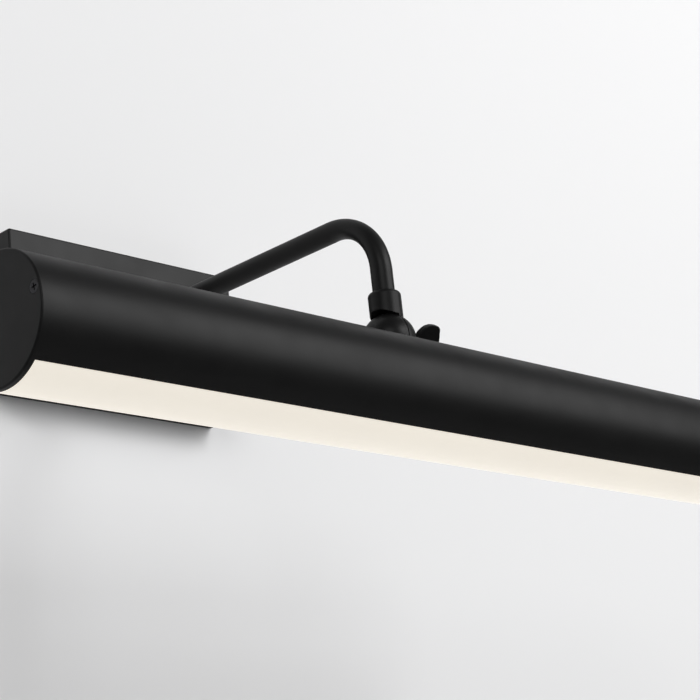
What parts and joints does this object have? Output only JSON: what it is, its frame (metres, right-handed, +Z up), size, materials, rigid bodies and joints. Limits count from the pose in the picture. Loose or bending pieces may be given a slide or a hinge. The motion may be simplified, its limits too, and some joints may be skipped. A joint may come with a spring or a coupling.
{
  "type": "picture light",
  "caption": "Wall-mounted picture light: a long cylindrical shade with an opal diffuser below, on a bent tube arm, tilting on a ball swivel clamped by a wing nut.",
  "frame": {"origin": "centre of the wall plate's rear face, on the wall plane, in line with the arm", "axes": "+X along the shade, +Y into the wall, +Z up; the room is at -Y"},
  "size_m": [0.462, 0.2512, 0.1619],
  "materials": {
    "plate_black": "matte black powder coat",
    "arm_black": "satin black powder coat",
    "swivel_black": "satin black powder coat",
    "shade_black": "satin black powder coat on an aluminium extrusion",
    "opal": "warm white opal acrylic, lightly frosted",
    "zinc_steel": "bright zinc plate",
    "black_screws": "black oxide",
    "ground_green": "green lacquer over steel",
    "terminal_white": "moulded nylon",
    "wire_insulation": "PVC insulation",
    "nylon": "natural nylon",
    "tray_aluminium": "mill finish",
    "board_white": "white solder mask",
    "led_phosphor": "phosphor resin",
    "driver_case": "moulded case"
  },
  "bodies": {
    "wall_mount": {"backplate_cover": "plate_black", "mounting_strap": "zinc_steel", "cover_screws": "black_screws", "ground_screw": "ground_green", "terminal_block": "terminal_white", "terminal_screws": "zinc_steel", "arm_tube": "arm_black", "arm_flange": "arm_black", "arm_washer": "zinc_steel", "arm_lock_nut": "zinc_steel", "arm_wires": "wire_insulation", "arm_knuckle": "swivel_black", "friction_disc": "nylon"},
    "shade": {"shade_knuckle": "swivel_black", "pivot_stud": "black_screws", "shade_shell": "shade_black", "diffuser": "opal", "end_cap_right": "shade_black", "end_cap_left": "shade_black", "end_cap_screws": "black_screws", "saddle_washer": "zinc_steel", "neck_nipple": "zinc_steel", "neck_lock_nut": "zinc_steel", "led_tray": "tray_aluminium", "led_boards": "board_white", "led_chips": "led_phosphor", "board_screws": "zinc_steel", "led_driver": "driver_case", "driver_screws": "zinc_steel", "neck_wires": "wire_insulation", "driver_leads": "wire_insulation"},
    "clamp_washer": {"clamp_washer": "black_screws"},
    "wing_nut": {"wing_nut": "swivel_black"}
  },
  "joints": [
    {"name": "shade_tilt", "type": "hinge", "parent": "wall_mount", "child": "shade", "pos_m": [0, -0.197, -0.0605], "axis": [1, 0, 0], "range_deg": [-30, 60]},
    {"name": "wing_nut_travel", "type": "slide", "parent": "shade", "child": "clamp_washer", "axis": [1, 0, 0], "range_m": [0, 0.0008]},
    {"name": "wing_nut_turn", "type": "hinge", "parent": "clamp_washer", "child": "wing_nut", "pos_m": [0.011, -0.197, -0.0605], "axis": [1, 0, 0], "range_deg": [0, 360]}
  ],
  "couplings": [
    {"joint": "wing_nut_travel", "follows": "wing_nut_turn", "m_per_rad": 0.00012732}
  ]
}
